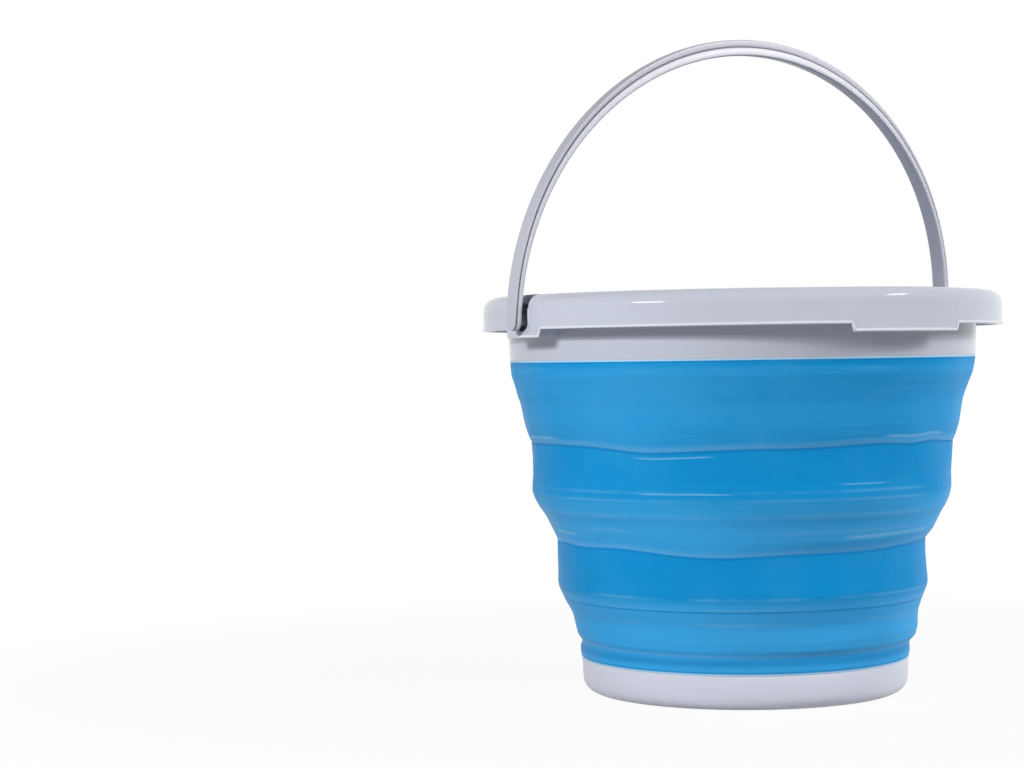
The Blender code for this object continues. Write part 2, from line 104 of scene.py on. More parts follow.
def feed(tree, socket, value):
    """Give a socket a plain value, or link another node's socket to it."""
    if isinstance(value, bpy.types.NodeSocket):
        tree.links.new(value, socket)
    else:
        socket.default_value = value


def combined(tree, operation, *values):
    """Join values with one Math operation, each to the result of those before it."""
    total = values[0]
    for value in values[1:]:
        node = tree.nodes.new("ShaderNodeMath")
        node.operation = operation
        feed(tree, node.inputs[0], total)
        feed(tree, node.inputs[1], value)
        total = node.outputs[0]
    return total


def seen_directly(tree):
    """1 for rays from the camera, from a shiny surface or through a clear one, and 0 for the rest."""
    path = tree.nodes.new("ShaderNodeLightPath")
    return combined(tree, "MAXIMUM", path.outputs["Is Camera Ray"], path.outputs["Is Glossy Ray"],
                    path.outputs["Is Transmission Ray"])


def shown_white(tree, white_share, lit, white, output_type):
    """Let a white shader stand in for the lit one by a share, and send the two to the output."""
    mix = tree.nodes.new("ShaderNodeMixShader")
    tree.links.new(white_share, mix.inputs[0])
    tree.links.new(lit.outputs[0], mix.inputs[1])
    tree.links.new(white.outputs[0], mix.inputs[2])
    tree.links.new(mix.outputs[0], tree.nodes.new(output_type).inputs["Surface"])


room = bpy.data.worlds.new("room")
bpy.context.scene.world = room
room.use_nodes = True
room_tree = room.node_tree
room_tree.nodes.clear()
room_light = room_tree.nodes.new("ShaderNodeBackground")
room_light.inputs["Color"].default_value = (1, 1, 1, 1)
room_light.inputs["Strength"].default_value = room_brightness
white_walls = room_tree.nodes.new("ShaderNodeBackground")
white_walls.inputs["Color"].default_value = (1, 1, 1, 1)
white_walls.inputs["Strength"].default_value = 1
shown_white(room_tree, seen_directly(room_tree), room_light, white_walls, "ShaderNodeOutputWorld")

# Table: a wide flat sheet of matt white. Where it is seen directly it glows white, and near the
# bucket a tenth of its real light and shadow still shows through the glow.
table_half = 30
table_drop = 0.0003
table_glow = 1.04
glow_share_near, glow_share_far = 0.9, 1
glow_near, glow_far = 0.25, 0.9

table_mesh = bpy.data.meshes.new("white_table")
table_mesh.from_pydata([(-table_half, -table_half, 0), (table_half, -table_half, 0),
                        (table_half, table_half, 0), (-table_half, table_half, 0)], [], [(0, 1, 2, 3)])
table = bpy.data.objects.new("white_table", table_mesh)
bpy.context.scene.collection.objects.link(table)
table.location.z = -table_drop


def mapped(tree, value, low, high, to_low, to_high):
    """Carry a value from one range to another, smoothly and without overrun."""
    node = tree.nodes.new("ShaderNodeMapRange")
    node.interpolation_type = "SMOOTHSTEP"
    for socket, number in (("From Min", low), ("From Max", high), ("To Min", to_low), ("To Max", to_high)):
        node.inputs[socket].default_value = number
    tree.links.new(value, node.inputs["Value"])
    return node.outputs["Result"]


table_paint = bpy.data.materials.new("white_table")
table_paint.use_nodes = True
table_tree = table_paint.node_tree
table_tree.nodes.clear()
matt_white = table_tree.nodes.new("ShaderNodeBsdfDiffuse")
matt_white.inputs["Color"].default_value = (0.5, 0.5, 0.5, 1)
white_glow = table_tree.nodes.new("ShaderNodeEmission")
white_glow.inputs["Strength"].default_value = table_glow
from_middle = table_tree.nodes.new("ShaderNodeVectorMath")
from_middle.operation = "LENGTH"
table_tree.links.new(table_tree.nodes.new("ShaderNodeTexCoord").outputs["Object"], from_middle.inputs[0])
glow_growth = mapped(table_tree, from_middle.outputs["Value"], glow_near, glow_far,
                     glow_share_near, glow_share_far)
glow_share = combined(table_tree, "MULTIPLY", seen_directly(table_tree), glow_growth)
shown_white(table_tree, glow_share, matt_white, white_glow, "ShaderNodeOutputMaterial")
table_mesh.materials.append(table_paint)

# Base: one dish moulded in light grey polypropylene, with a rounded foot and a finger pocket
# pressed up from below. Its short upright tongue is held inside the wall's bottom cuff.
base_edge = 0.0005
sharp_corner = math.radians(32)
# The base's greys are paler than the rim's by painted light, which brightens the bucket's lower part.
base_pale_with_painted_light, base_shade_with_painted_light = (0.715, 0.728, 0.825), (0.705, 0.718, 0.815)
base_roughness = 0.36
# marks to the metre on any of the bucket's grey mouldings
plastic_cloud_scale, plastic_grain_scale = 28, 1400
plastic_grain_height = 0.0002
polypropylene_ior = 1.49
polypropylene_specular = 0.24


def moulding_marks():
    """Node group: soft clouds, level streaks and a fine grain, as on any moulding of this bucket."""
    group = bpy.data.node_groups.new("moulding_marks", "ShaderNodeTree")
    group.interface.new_socket("Place", in_out="INPUT", socket_type="NodeSocketVector")
    for mark, scale in (("Cloud", 30), ("Streak", 25), ("Grain", 900)):
        scale_socket = group.interface.new_socket(mark + " scale", in_out="INPUT",
                                                  socket_type="NodeSocketFloat")
        scale_socket.default_value = scale
        group.interface.new_socket(mark, in_out="OUTPUT", socket_type="NodeSocketFloat")
    entry = group.nodes.new("NodeGroupInput")
    leave = group.nodes.new("NodeGroupOutput")
    flattened = group.nodes.new("ShaderNodeVectorMath")
    flattened.operation = "MULTIPLY"
    flattened.inputs[1].default_value = (1, 1, 22)
    group.links.new(entry.outputs["Place"], flattened.inputs[0])
    for mark, source, detail, roughness in (("Cloud", entry.outputs["Place"], 4, 0.55),
                                            ("Streak", flattened.outputs["Vector"], 3, 0.5),
                                            ("Grain", entry.outputs["Place"], 2, 0.5)):
        texture = group.nodes.new("ShaderNodeTexNoise")
        texture.inputs["Detail"].default_value = detail
        texture.inputs["Roughness"].default_value = roughness
        group.links.new(source, texture.inputs["Vector"])
        group.links.new(entry.outputs[mark + " scale"], texture.inputs["Scale"])
        group.links.new(texture.outputs["Fac"], leave.inputs[mark])
    return group


marks_group = moulding_marks()


def add_marks(tree, place, cloud_scale, grain_scale):
    """Place the moulding marks in a material."""
    marks = tree.nodes.new("ShaderNodeGroup")
    marks.node_tree = marks_group
    marks.inputs["Cloud scale"].default_value = cloud_scale
    marks.inputs["Grain scale"].default_value = grain_scale
    tree.links.new(place, marks.inputs["Place"])
    return marks


def blended(tree, share, first, second):
    """A colour between two others; each is a colour or another node's socket."""
    node = tree.nodes.new("ShaderNodeMix")
    node.data_type = "RGBA"
    tree.links.new(share, node.inputs["Factor"])
    # this node names its sockets alike for every kind of data: 6 and 7 take colours, 2 gives one
    for index, colour in ((6, first), (7, second)):
        feed(tree, node.inputs[index], (*colour, 1) if isinstance(colour, tuple) else colour)
    return node.outputs[2]


def raised(tree, shader, height, strength, distance):
    """Raise a material's surface by a pattern of heights."""
    bump = tree.nodes.new("ShaderNodeBump")
    bump.inputs["Strength"].default_value = strength
    bump.inputs["Distance"].default_value = distance
    tree.links.new(height, bump.inputs["Height"])
    tree.links.new(bump.outputs["Normal"], shader.inputs["Normal"])


def grey_polypropylene(name, pale, shade, roughness, grain=0.03):
    """Satin moulded polypropylene: a faint cloud in its colour and gloss, and a fine grain."""
    material = bpy.data.materials.new(name)
    material.use_nodes = True
    tree = material.node_tree
    plastic = tree.nodes["Principled BSDF"]
    plastic.inputs["IOR"].default_value = polypropylene_ior
    plastic.inputs["Specular IOR Level"].default_value = polypropylene_specular
    marks = add_marks(tree, tree.nodes.new("ShaderNodeTexCoord").outputs["Object"],
                      plastic_cloud_scale, plastic_grain_scale)
    cloud = mapped(tree, marks.outputs["Cloud"], 0.15, 0.85, 0, 1)
    tree.links.new(blended(tree, cloud, shade, pale), plastic.inputs["Base Color"])
    dullness = mapped(tree, marks.outputs["Cloud"], 0.15, 0.85, roughness + 0.01, roughness - 0.01)
    tree.links.new(dullness, plastic.inputs["Roughness"])
    raised(tree, plastic, marks.outputs["Grain"], grain, plastic_grain_height)
    return material


def smooth_piece(name, mesh, sharp_angle, material):
    """Make a mesh an object in the scene, shaded as one skin that breaks only where it turns by more than
    an angle.
    """
    mesh.shade_smooth()
    mesh.set_sharp_from_angle(angle=math.radians(sharp_angle))
    mesh.materials.append(material)
    piece = bpy.data.objects.new(name, mesh)
    bpy.context.scene.collection.objects.link(piece)
    return piece


def softened_copy(node_name, name, edge, material, body):
    """A moulding with its points joined and its sharp edges rounded, in the moulding's place."""
    work = bmesh.new()
    work.from_mesh(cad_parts[node_name].data)
    bmesh.ops.remove_doubles(work, verts=work.verts, dist=1e-6)
    sharp = [line for line in work.edges if line.is_manifold and line.calc_face_angle() > sharp_corner]
    bmesh.ops.bevel(work, geom=sharp, offset=edge, offset_type="OFFSET", segments=2, profile=0.5,
                    affect="EDGES", clamp_overlap=True)
    mesh = bpy.data.meshes.new(name)
    work.to_mesh(mesh)
    work.free()
    copy = smooth_piece(name, mesh, 40, material)
    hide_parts(node_name)
    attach(copy, body)


base_plastic = grey_polypropylene("base_plastic", base_pale_with_painted_light, base_shade_with_painted_light, base_roughness)
softened_copy("base", "base_dish", base_edge, base_plastic, "base")

# Folding wall: one moulding of soft blue thermoplastic rubber, made here as three rings that
# meet at the bands' top edges. It is moulded on to the base's and the rim's tongues and snaps
# over between its two stiffer upright bands; the webs between them keep soft creases.
wall_foot = 0.02045
lower_band_top = 0.0908
upper_band_top = 0.1498
wall_head = 0.20135
# how far a ring's foot reaches below the band's top edge, and how far behind it
ring_overlap = 0.0006
ring_tuck = 0.0008
ring_tuck_height = 0.0012
row_height = 0.0007
wall_steps = 180

# Outer side of the wall, as (height, radius) from the base's top edge up to the rim's collar
wall_profile = np.array((
    # bottom cuff and the neck's step over it
    (wall_foot, 0.0988), (0.0216, 0.0993), (0.0240, 0.0997), (0.0268, 0.0997), (0.0290, 0.0992),
    (0.0306, 0.0993), (0.0320, 0.1004),
    # lower web
    (0.0340, 0.1022), (0.0390, 0.1034), (0.0440, 0.1040), (0.0470, 0.1045), (0.0490, 0.1051),
    (0.0538, 0.1073), (0.0588, 0.1095), (0.0636, 0.1115),
    # lower band
    (0.0660, 0.1119), (0.0685, 0.1119), (0.0730, 0.1116), (0.0780, 0.1115), (0.0830, 0.1114),
    (0.0880, 0.1114), (0.0904, 0.1115),
    # middle web
    (0.0914, 0.1113), (0.0928, 0.1122), (0.0976, 0.1152), (0.1025, 0.1175), (0.1075, 0.1199),
    (0.1120, 0.1229), (0.1170, 0.1253), (0.1210, 0.1265),
    # upper band
    (0.1230, 0.1268), (0.1270, 0.1267), (0.1320, 0.1264), (0.1415, 0.1268), (0.1460, 0.1271),
    (0.1494, 0.1274),
    # upper web
    (0.1504, 0.1273), (0.1515, 0.1281), (0.1560, 0.1298), (0.1610, 0.1312), (0.1660, 0.1321),
    (0.1706, 0.1328), (0.1755, 0.1337), (0.1800, 0.1352), (0.1850, 0.1368), (0.1900, 0.1387),
    # top cuff
    (0.1925, 0.1395), (0.1950, 0.1399), (0.1995, 0.1404), (wall_head, 0.1406)))
# Thickness of the wall at a few heights, thin on the webs and thicker on the bands
web_thick, band_thick = 0.0015, 0.0022
wall_thickness = np.array((
    (wall_foot, 0.0014), (0.0300, web_thick), (0.0600, web_thick), (0.0670, band_thick),
    (0.0900, band_thick), (0.0925, web_thick), (0.1190, web_thick), (0.1240, band_thick),
    (0.1490, band_thick), (0.1515, web_thick), (wall_head, web_thick)))
# The rings hang a little to one side between the rim and the base: (height, shift to lean_turn)
wall_lean = np.array((
    (0.020, 0.0), (0.027, -0.0001), (0.033, 0.0011), (0.040, 0.0011), (0.047, 0.0004),
    (0.055, -0.0006), (0.064, -0.0010), (0.072, -0.0012), (0.083, -0.0017), (0.090, -0.0017),
    (0.097, -0.0005), (0.105, -0.0006), (0.112, -0.0010), (0.121, -0.0014), (0.128, -0.0012),
    (0.140, -0.0008), (0.150, -0.0007), (0.165, -0.0011), (0.180, -0.0012), (0.188, -0.0005),
    (0.200, 0.0)))
lean_turn = math.radians(-31.4)
# Where the top edge of each upright band rises or sags: (turn in degrees, rise)
upper_edge_wave = np.array((
    (-170, 0.0018), (-164, 0.0010), (-158, -0.0004), (-152, -0.0014), (-144, -0.0010),
    (-136, -0.0002), (-122, 0.0007), (-114, 0.0004), (-104, 0.0009), (-92, 0.0022), (-84, 0.0020),
    (-79, 0.0011), (-74, 0.0016), (-69, 0.0027), (-54, 0.0010), (-30, -0.0006), (0, 0.0009),
    (30, -0.0004), (60, 0.0011), (95, 0.0002), (125, 0.0014), (156, 0.0018), (176, 0.0023)))
lower_edge_wave = np.array((
    (-175, 0.0012), (-169, 0.0018), (-163, 0.0016), (-155, 0.0004), (-146, -0.0012),
    (-137, -0.0022), (-130, -0.0024), (-121, -0.0014), (-110, -0.0007), (-94, -0.0006),
    (-83, -0.0001), (-70, 0.0010), (-58, 0.0015), (-30, 0.0004), (0, -0.0010), (35, 0.0009),
    (70, -0.0006), (105, 0.0010), (135, -0.0002), (152, 0.0006), (165, 0.0017), (176, 0.0008)))
web_ripple, band_ripple = 0.00022, 0.00007


def wall_radius(height):
    """The wall's outer radius, with every corner eased over about 1.6 mm."""
    reach = np.linspace(-0.0008, 0.0008, 9)
    clipped = np.clip(height[..., None] + reach, wall_foot, wall_head)
    return np.interp(clipped, wall_profile[:, 0], wall_profile[:, 1]).mean(axis=-1)


def round_the_ring(wave, turn):
    """Read a wave's table at any turn, eased between its entries."""
    degrees = np.degrees(turn)[..., None] + np.linspace(-3, 3, 7)
    return np.interp(degrees, wave[:, 0], wave[:, 1], period=360).mean(axis=-1)


def hold(height, middle, below, above):
    """1 at a fold line, easing to 0 below and above it."""
    share = np.where(height < middle, (middle - height) / below, (height - middle) / above)
    share = np.clip(share, 0, 1)
    return 1 - share * share * (3 - 2 * share)


def slack(height, low, high, ease):
    """1 on a free stretch of the wall and 0 where something stiff holds it."""
    return np.clip((height - low) / ease, 0, 1) * np.clip((high - height) / ease, 0, 1)


def wall_ripple(turn, height):
    """How far soft rubber stands out of true: slow waves round each web and shallow dents."""
    upper = slack(height, 0.150, 0.193, 0.012)
    middle = slack(height, 0.091, 0.122, 0.009)
    lower = slack(height, 0.032, 0.065, 0.010)
    bands = slack(height, 0.060, 0.150, 0.006)
    waves = (np.sin(5 * turn + 0.7 + 25 * height) + 0.7 * np.sin(8 * turn + 2.1 - 40 * height)
             + 0.5 * np.sin(13 * turn + 4.0 + 60 * height) + 0.35 * np.sin(21 * turn + 1.2 - 90 * height))
    other = (np.sin(4 * turn + 2.9 - 30 * height) + 0.6 * np.sin(9 * turn + 0.4 + 50 * height)
             + 0.4 * np.sin(17 * turn + 5.2 + 35 * height))
    return web_ripple * (upper * waves + middle * other + 0.7 * lower * waves) + band_ripple * bands * other


def settled(turn, height, radius):
    """Where a point of the true wall ends up on the soft one, as x, y and z."""
    radius = radius + wall_ripple(turn, height)
    shift = np.interp(height, wall_lean[:, 0], wall_lean[:, 1])
    rise = (round_the_ring(upper_edge_wave, turn) * hold(height, upper_band_top, 0.020, 0.034)
            + round_the_ring(lower_edge_wave, turn) * hold(height, lower_band_top, 0.020, 0.022))
    return (radius * np.cos(turn) + shift * math.cos(lean_turn),
            radius * np.sin(turn) + shift * math.sin(lean_turn), height + rise)


def quads_between(loops, sides, closed):
    """Four-sided faces between neighbouring loops, and from the last to the first where it is closed."""
    faces = []
    for loop in range(loops if closed else loops - 1):
        here, there = loop * sides, (loop + 1) % loops * sides
        for side in range(sides):
            beside = (side + 1) % sides
            faces.append((here + side, here + beside, there + beside, there + side))
    return faces


def wall_ring(name, low, high, tuck):
    """One ring of the wall as a closed shell; tuck is how deep its foot slips behind the band below."""
    outer_rows = round((high - low) / row_height)
    outer_heights = np.linspace(low, high, outer_rows + 1)
    inner_heights = np.linspace(high, low, outer_rows // 3 + 1)
    heights = np.concatenate((outer_heights, inner_heights))
    radii = wall_radius(heights)
    radii[:len(outer_heights)] -= tuck * np.clip(1 - (outer_heights - low) / ring_tuck_height, 0, 1)
    radii[len(outer_heights):] -= tuck / 4 + np.interp(inner_heights, wall_thickness[:, 0],
                                                       wall_thickness[:, 1])
    turns = np.arange(wall_steps) * math.tau / wall_steps
    turn_grid, height_grid = np.meshgrid(turns, heights)
    radius_grid = radii[:, None] + 0 * turn_grid
    places = np.stack(settled(turn_grid, height_grid, radius_grid), axis=-1).reshape(-1, 3)
    true_places = np.stack((radius_grid * np.cos(turn_grid), radius_grid * np.sin(turn_grid), height_grid),
                           axis=-1).reshape(-1, 3)
    mesh = bpy.data.meshes.new(name)
    mesh.from_pydata(places.tolist(), [], quads_between(len(heights), wall_steps, True))
    true_place = mesh.attributes.new("true_place", "FLOAT_VECTOR", "POINT")
    true_place.data.foreach_set("vector", true_places.ravel())
    return smooth_piece(name, mesh, 50, wall_rubber)


# Colours of the rubber: deep on the bands, paler on the webs and palest at its folds and edges; painted
# light on the lower webs
band_blue = (0.005, 0.285, 0.655)
web_blue = (0.020, 0.320, 0.700)
low_web_painted_light_blue = (0.047, 0.415, 0.850)
cloud_blue = (0.060, 0.395, 0.760)
pale_fold_and_highlight_blue = (0.150, 0.480, 0.840)
fold_glint_blue = (0.270, 0.600, 0.900)
edge_white = (0.520, 0.760, 0.960)
crease_shade_blue = (0.003, 0.190, 0.470)
border_highlight_share, fold_share, fold_glint_share, crease_shade_share = 0.6, 0.6, 0.55, 0.6
rubber_cloud_scale, rubber_wide_cloud_scale, rubber_grain_scale = 38, 14, 1100
rubber_specular = 0.08
rubber_grain, rubber_grain_height = 0.25, 0.0003
# The deep blue stretches, the last of them the top cuff: (low, high, ease at the foot)
deep_stretches = ((0.0630, lower_band_top, 0.003), (0.1225, upper_band_top, 0.003),
                  (0.1965, 0.2030, 0.002))
# how softly a colour changes at a level edge
level_edge_ease = 0.0004
# Soft pale borders, a painted highlight just above each band's top edge and the bottom cuff: (height,
# reach)
pale_border_highlights = ((0.1500, 0.0050), (0.0910, 0.0042), (0.0305, 0.0035))
# Patchy pale fold lines, and dark creases of painted shade, right round the wall: (height, half the width)
pale_folds = ((0.1262, 0.0015), (0.1215, 0.0012), (0.1120, 0.0022), (0.1030, 0.0020), (0.0650, 0.0014),
              (0.0590, 0.0012), (0.0500, 0.0020))
# the widest dark crease, at 0.0275, is a painted shadow under the neck's step
dark_crease_shades = ((0.1492, 0.0010), (0.0902, 0.0010), (0.0575, 0.0009), (0.0275, 0.0042), (0.0222, 0.0006),
                (0.1996, 0.0006))
# Short folds painted pale as highlights and glints: (height, half the width, first turn, last turn in
# degrees)
short_fold_glints = ((0.1466, 0.0008, -157, -132), (0.1255, 0.0007, -156, -127), (0.1300, 0.0006, -103, -84),
               (0.1545, 0.0014, -90, -60), (0.0995, 0.0019, -99, -58), (0.1540, 0.0014, 153, 179),
               (0.0985, 0.0019, 158, 179))
short_fold_ease = math.radians(6)


def size_of(tree, value):
    """A value without its sign."""
    node = tree.nodes.new("ShaderNodeMath")
    node.operation = "ABSOLUTE"
    tree.links.new(value, node.inputs[0])
    return node.outputs[0]


def fold_line(tree, height, level, half_width):
    """1 on a level line round the wall, and 0 further from it than half its width."""
    return mapped(tree, size_of(tree, combined(tree, "SUBTRACT", height, level)), 0, half_width, 1, 0)


def short_fold(tree, turn, height, level, half_width, first, last):
    """1 on a short level fold between two turns round the wall, easing to 0 at its ends."""
    first, last = math.radians(first), math.radians(last)
    return combined(tree, "MULTIPLY", fold_line(tree, height, level, half_width),
                    mapped(tree, turn, first, first + short_fold_ease, 0, 1),
                    mapped(tree, turn, last - short_fold_ease, last, 1, 0))


def above_edge(tree, height, level, reach):
    """1 just above a level edge, easing to 0 over the reach above it."""
    start = mapped(tree, height, level, level + level_edge_ease, 0, 1)
    return combined(tree, "MULTIPLY", start, mapped(tree, height, level + 0.0005, level + reach, 1, 0))


def deep_stretch(tree, height, low, high, ease):
    """1 on a deep blue stretch: it begins softly and ends sharply."""
    begin = mapped(tree, height, low - ease, low + ease, 0, 1)
    end = mapped(tree, height, high - level_edge_ease, high + level_edge_ease, 1, 0)
    return combined(tree, "MULTIPLY", begin, end)


def blue_rubber():
    """Satin blue rubber: deep on the bands, paler and cloudy on the webs, whitened along the folds, with
    painted light low down, painted highlights on folds and painted shade in creases.
    """
    material = bpy.data.materials.new("wall_rubber")
    material.use_nodes = True
    tree = material.node_tree
    rubber = tree.nodes["Principled BSDF"]
    rubber.inputs["Specular IOR Level"].default_value = rubber_specular
    true_place = tree.nodes.new("ShaderNodeAttribute")
    true_place.attribute_name = "true_place"
    place = true_place.outputs["Vector"]
    split = tree.nodes.new("ShaderNodeSeparateXYZ")
    tree.links.new(place, split.inputs[0])
    height = split.outputs["Z"]
    turn = combined(tree, "ARCTAN2", split.outputs["Y"], split.outputs["X"])
    marks = add_marks(tree, place, rubber_cloud_scale, rubber_grain_scale)
    wide_marks = add_marks(tree, place, rubber_wide_cloud_scale, rubber_grain_scale)
    wide_cloud = wide_marks.outputs["Cloud"]

    deep = combined(tree, "ADD", *[deep_stretch(tree, height, *stretch) for stretch in deep_stretches])
    # the lower webs take a paler blue, as painted light
    web = blended(tree, mapped(tree, height, 0.112, 0.124, 0, 1), low_web_painted_light_blue, web_blue)
    colour = blended(tree, deep, web, band_blue)

    # clouds everywhere, level streaks mostly just below the top cuff and hardly on the bands
    cloudy = combined(tree, "MULTIPLY", mapped(tree, wide_cloud, 0.42, 0.72, 0, 0.42),
                      mapped(tree, deep, 0, 1, 1, 0.55))
    streaky_place = combined(tree, "MAXIMUM", mapped(tree, deep, 0, 1, 0.26, 0.05),
                             mapped(tree, height, 0.181, 0.190, 0, 0.45))
    streak = combined(tree, "MULTIPLY", streaky_place,
                      mapped(tree, marks.outputs["Streak"], 0.45, 0.72, 0, 1))
    colour = blended(tree, combined(tree, "MAXIMUM", cloudy, streak), colour, cloud_blue)

    # painted highlights on the borders and short folds, paler fold lines, painted shade in the creases, and
    # a white line where the rubber meets each grey part
    border_highlights = combined(tree, "ADD", *[above_edge(tree, height, *border) for border in pale_border_highlights])
    colour = blended(tree, combined(tree, "MULTIPLY", border_highlights, border_highlight_share), colour, pale_fold_and_highlight_blue)
    folds = combined(tree, "ADD", *[fold_line(tree, height, *fold) for fold in pale_folds])
    patches = mapped(tree, wide_cloud, 0.42, 0.64, 0, 0.8)
    colour = blended(tree, combined(tree, "MULTIPLY", folds, patches, fold_share), colour, pale_fold_and_highlight_blue)
    fold_glint = combined(tree, "ADD", *[short_fold(tree, turn, height, *fold) for fold in short_fold_glints])
    colour = blended(tree, combined(tree, "MULTIPLY", fold_glint, fold_glint_share), colour, fold_glint_blue)
    crease_shades = combined(tree, "ADD", *[fold_line(tree, height, *crease) for crease in dark_crease_shades])
    colour = blended(tree, combined(tree, "MULTIPLY", crease_shades, crease_shade_share), colour, crease_shade_blue)
    edges = combined(tree, "ADD", mapped(tree, height, 0.2001, 0.2006, 0, 0.9),
                     mapped(tree, height, 0.0217, 0.0212, 0, 0.9))
    colour = blended(tree, edges, colour, edge_white)

    tree.links.new(colour, rubber.inputs["Base Color"])
    tree.links.new(mapped(tree, marks.outputs["Cloud"], 0.3, 0.7, 0.52, 0.42), rubber.inputs["Roughness"])
    streaked_grain = combined(tree, "ADD", marks.outputs["Grain"],
                              combined(tree, "MULTIPLY", marks.outputs["Streak"], 1.5))
    raised(tree, rubber, streaked_grain, rubber_grain, rubber_grain_height)
    return material


wall_rubber = blue_rubber()
lower_wall = wall_ring("lower_wall", wall_foot, lower_band_top, 0)
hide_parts("wall_bottom_cuff", "wall_lower_web", "wall_lower_band")
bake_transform(lower_wall)
middle_wall = wall_ring("middle_wall", lower_band_top - ring_overlap, upper_band_top, ring_tuck)
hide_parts("wall_middle_web", "wall_upper_band")
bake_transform(middle_wall)
upper_wall = wall_ring("upper_wall", upper_band_top - ring_overlap, wall_head, ring_tuck)
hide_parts("wall_upper_web", "wall_top_cuff")
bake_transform(upper_wall)

# Rim: one light grey polypropylene moulding, a channel section with a rolled shoulder, a fine
# bead along its lower edge and three tabs below it. The pouring spout is scooped out of its
# inner edge, and a slot at each side takes a leg of the handle.
rim_radius = 0.1568
skirt_foot = 0.2192
rim_edge = 0.0004
rim_pale, rim_shade = (0.560, 0.590, 0.685), (0.553, 0.583, 0.678)
rim_roughness, trim_roughness = 0.12, 0.24
# The tabs below the skirt: (turn of the middle, half the width, depth)
rim_tabs = ((-math.pi / 2, 0.0373, 0.0043), (0, 0.0166, 0.0047), (math.pi, 0.0166, 0.0047))
tab_slope = 0.0012
pivot_height = 0.2249
slot_radius = 0.0068
slot_back, slot_mouth = 0.1476, 0.1566
# The slots' painted shade: where it fades out, how high it reaches, and the part of it lifted by painted
# light
shade_fade = 0.0012
shade_low, shade_high = 0.2290, 0.2360
lit_low, lit_back, lit_front = 0.2330, 0.1500, 0.1530
lit_share = 0.1
# painted shade colours inside the slots, at their foot and near the top
slot_shade_foot_grey, slot_shade_top_grey = (0.270, 0.290, 0.340), (0.100, 0.110, 0.130)


def slot_shade():
    """Node group: painted shade and a duller gloss inside the rim's two slots, where little light gets in.
    """
    group = bpy.data.node_groups.new("slot_shade", "ShaderNodeTree")
    for name, kind in (("Place", "NodeSocketVector"), ("Colour", "NodeSocketColor"),
                       ("Roughness", "NodeSocketFloat"), ("Outer end", "NodeSocketFloat")):
        group.interface.new_socket(name, in_out="INPUT", socket_type=kind)
    for name, kind in (("Colour", "NodeSocketColor"), ("Roughness", "NodeSocketFloat")):
        group.interface.new_socket(name, in_out="OUTPUT", socket_type=kind)
    entry = group.nodes.new("NodeGroupInput")
    leave = group.nodes.new("NodeGroupOutput")
    split = group.nodes.new("ShaderNodeSeparateXYZ")
    group.links.new(entry.outputs["Place"], split.inputs[0])
    height = split.outputs["Z"]
    reach = size_of(group, split.outputs["X"])
    past_end = combined(group, "SUBTRACT", reach, entry.outputs["Outer end"])
    inside = combined(group, "MULTIPLY", mapped(group, past_end, -shade_fade, 0, 1, 0),
                      mapped(group, reach, slot_back - 0.0002, slot_back + 0.0002, 0, 1),
                      mapped(group, size_of(group, split.outputs["Y"]), slot_radius + 0.0001,
                             slot_radius + 0.0005, 1, 0))
    # painted light: the shade lifts on the deep end of each slot's side walls, where light comes over the
    # shoulder
    lit = combined(group, "MULTIPLY", mapped(group, height, lit_low, shade_high, 0, 1),
                   mapped(group, reach, lit_back, lit_front, 1, 0))
    inside = combined(group, "MULTIPLY", inside, mapped(group, lit, 0, 1, 1, lit_share))
    shade = blended(group, mapped(group, height, shade_low, shade_high, 0, 1),
                    slot_shade_foot_grey, slot_shade_top_grey)
    group.links.new(blended(group, inside, entry.outputs["Colour"], shade), leave.inputs["Colour"])
    dullness = combined(group, "MAXIMUM", entry.outputs["Roughness"], inside)
    group.links.new(dullness, leave.inputs["Roughness"])
    return group


slot_shade_group = slot_shade()


def shade_in_slots(material, outer_end):
    """Place the slots' shade between a plastic's colour and roughness and its shader."""
    tree = material.node_tree
    plastic = tree.nodes["Principled BSDF"]
    shade = tree.nodes.new("ShaderNodeGroup")
    shade.node_tree = slot_shade_group
    shade.inputs["Outer end"].default_value = outer_end
    tree.links.new(tree.nodes.new("ShaderNodeTexCoord").outputs["Object"], shade.inputs["Place"])
    for kind, socket in (("Colour", "Base Color"), ("Roughness", "Roughness")):
        tree.links.new(plastic.inputs[socket].links[0].from_socket, shade.inputs[kind])
        tree.links.new(shade.outputs[kind], plastic.inputs[socket])


rim_plastic = grey_polypropylene("rim_plastic", rim_pale, rim_shade, rim_roughness)
# painted shade inside the rim's two slots
shade_in_slots(rim_plastic, slot_mouth)
softened_copy("rim", "rim_channel", rim_edge, rim_plastic, "rim")


def rim_foot(turn):
    """Height of the rim's lower edge: level, with a step down at each of its three tabs."""
    drop = 0 * turn
    for middle, half_width, depth in rim_tabs:
        beside = np.abs((turn - middle + math.pi) % math.tau - math.pi) * rim_radius
        drop = np.maximum(drop, depth * np.clip((half_width + tab_slope - beside) / tab_slope, 0, 1))
    return skirt_foot - drop


